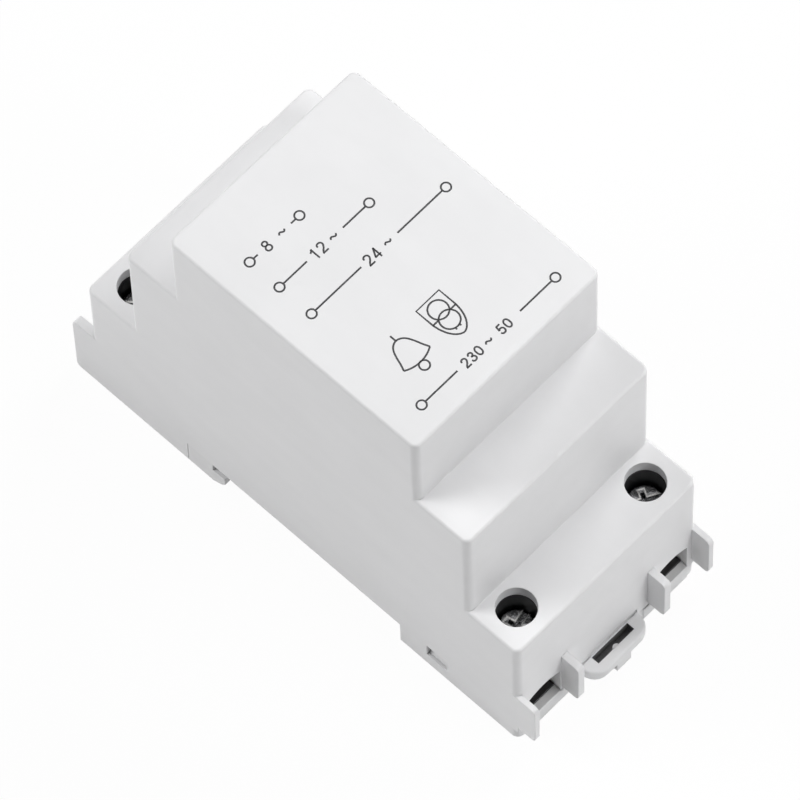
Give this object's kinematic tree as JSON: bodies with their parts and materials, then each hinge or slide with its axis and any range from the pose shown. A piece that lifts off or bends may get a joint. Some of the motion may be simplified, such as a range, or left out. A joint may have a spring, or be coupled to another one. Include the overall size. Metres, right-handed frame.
{
  "type": "doorbell transformer",
  "caption": "Rail-mounted doorbell transformer: stepped grey case with mains and bell screw terminals at its two ends, a sprung rail latch and a wound iron core inside.",
  "frame": {"origin": "centre of the face that sits on the rail", "axes": "+X across the width, +Y along the length towards the bell terminals, +Z out of the printed face"},
  "size_m": [0.036, 0.0888, 0.0655],
  "materials": {
    "housing": "light grey moulded polycarbonate, fine satin texture",
    "base": "light grey moulded plastic",
    "latch": "light grey moulded plastic",
    "spring": "bright spring steel",
    "core": "varnished silicon-steel laminations",
    "bobbin": "black glass-filled nylon",
    "copper": "enamelled copper wire",
    "tape": "yellow polyester tape",
    "pin": "tinned",
    "cutout": "cream plastic",
    "screw": "dull zinc plate",
    "cage": "zinc plate",
    "contact": "tinned brass",
    "mains_lead": "blue insulation",
    "bell_lead": "white insulation"
  },
  "bodies": {
    "case": {"housing": "housing", "base": "base", "latch_spring": "spring", "core_e_stack": "core", "core_i_stack": "core", "bobbin": "bobbin", "mains_winding": "copper", "mains_coil_tape": "tape", "bell_winding": "copper", "bell_coil_tape": "tape", "winding_pins": "pin", "thermal_cutout": "cutout", "bell_common_lead": "bell_lead", "bell_8v_lead": "bell_lead", "bell_12v_lead": "bell_lead", "bell_24v_lead": "bell_lead", "mains_right_lead": "mains_lead", "cutout_in_lead": "mains_lead", "cutout_out_lead": "mains_lead", "mains_left_bar": "contact", "mains_right_bar": "contact", "bell_common_bar": "contact", "bell_8v_bar": "contact", "bell_12v_bar": "contact", "bell_24v_bar": "contact"},
    "latch": {"rail_latch": "latch"},
    "mains_left_screw": {"mains_left_screw": "screw"},
    "mains_left_cage": {"mains_left_cage": "cage"},
    "mains_right_screw": {"mains_right_screw": "screw"},
    "mains_right_cage": {"mains_right_cage": "cage"},
    "bell_common_screw": {"bell_common_screw": "screw"},
    "bell_common_cage": {"bell_common_cage": "cage"},
    "bell_8v_screw": {"bell_8v_screw": "screw"},
    "bell_8v_cage": {"bell_8v_cage": "cage"},
    "bell_12v_screw": {"bell_12v_screw": "screw"},
    "bell_12v_cage": {"bell_12v_cage": "cage"},
    "bell_24v_screw": {"bell_24v_screw": "screw"},
    "bell_24v_cage": {"bell_24v_cage": "cage"}
  },
  "joints": [
    {"name": "rail_latch_slide", "type": "slide", "parent": "case", "child": "latch", "axis": [0, -1, 0], "range_m": [0, 0.003], "stiffness_N_per_m": 800, "springref_m": -0.003, "deforming": ["latch_spring"]},
    {"name": "mains_left_turn", "type": "hinge", "parent": "case", "child": "mains_left_screw", "pos_m": [-0.01285, -0.0358, 0.0171], "axis": [0, 0, -1], "range_deg": [0, 2401]},
    {"name": "mains_left_clamp", "type": "slide", "parent": "case", "child": "mains_left_cage", "axis": [0, 0, 1], "range_m": [0, 0.004]},
    {"name": "mains_right_turn", "type": "hinge", "parent": "case", "child": "mains_right_screw", "pos_m": [0.01285, -0.0358, 0.0171], "axis": [0, 0, -1], "range_deg": [0, 2401]},
    {"name": "mains_right_clamp", "type": "slide", "parent": "case", "child": "mains_right_cage", "axis": [0, 0, 1], "range_m": [0, 0.004]},
    {"name": "bell_common_turn", "type": "hinge", "parent": "case", "child": "bell_common_screw", "pos_m": [-0.01275, 0.0358, 0.0171], "axis": [0, 0, -1], "range_deg": [0, 2401]},
    {"name": "bell_common_clamp", "type": "slide", "parent": "case", "child": "bell_common_cage", "axis": [0, 0, 1], "range_m": [0, 0.004]},
    {"name": "bell_8v_turn", "type": "hinge", "parent": "case", "child": "bell_8v_screw", "pos_m": [-0.00425, 0.0358, 0.0171], "axis": [0, 0, -1], "range_deg": [0, 2401]},
    {"name": "bell_8v_clamp", "type": "slide", "parent": "case", "child": "bell_8v_cage", "axis": [0, 0, 1], "range_m": [0, 0.004]},
    {"name": "bell_12v_turn", "type": "hinge", "parent": "case", "child": "bell_12v_screw", "pos_m": [0.00425, 0.0358, 0.0171], "axis": [0, 0, -1], "range_deg": [0, 2401]},
    {"name": "bell_12v_clamp", "type": "slide", "parent": "case", "child": "bell_12v_cage", "axis": [0, 0, 1], "range_m": [0, 0.004]},
    {"name": "bell_24v_turn", "type": "hinge", "parent": "case", "child": "bell_24v_screw", "pos_m": [0.01275, 0.0358, 0.0171], "axis": [0, 0, -1], "range_deg": [0, 2401]},
    {"name": "bell_24v_clamp", "type": "slide", "parent": "case", "child": "bell_24v_cage", "axis": [0, 0, 1], "range_m": [0, 0.004]}
  ],
  "couplings": [
    {"joint": "mains_left_turn", "follows": "mains_left_clamp", "rad_per_m": 10472},
    {"joint": "mains_right_turn", "follows": "mains_right_clamp", "rad_per_m": 10472},
    {"joint": "bell_common_turn", "follows": "bell_common_clamp", "rad_per_m": 10472},
    {"joint": "bell_8v_turn", "follows": "bell_8v_clamp", "rad_per_m": 10472},
    {"joint": "bell_12v_turn", "follows": "bell_12v_clamp", "rad_per_m": 10472},
    {"joint": "bell_24v_turn", "follows": "bell_24v_clamp", "rad_per_m": 10472}
  ]
}
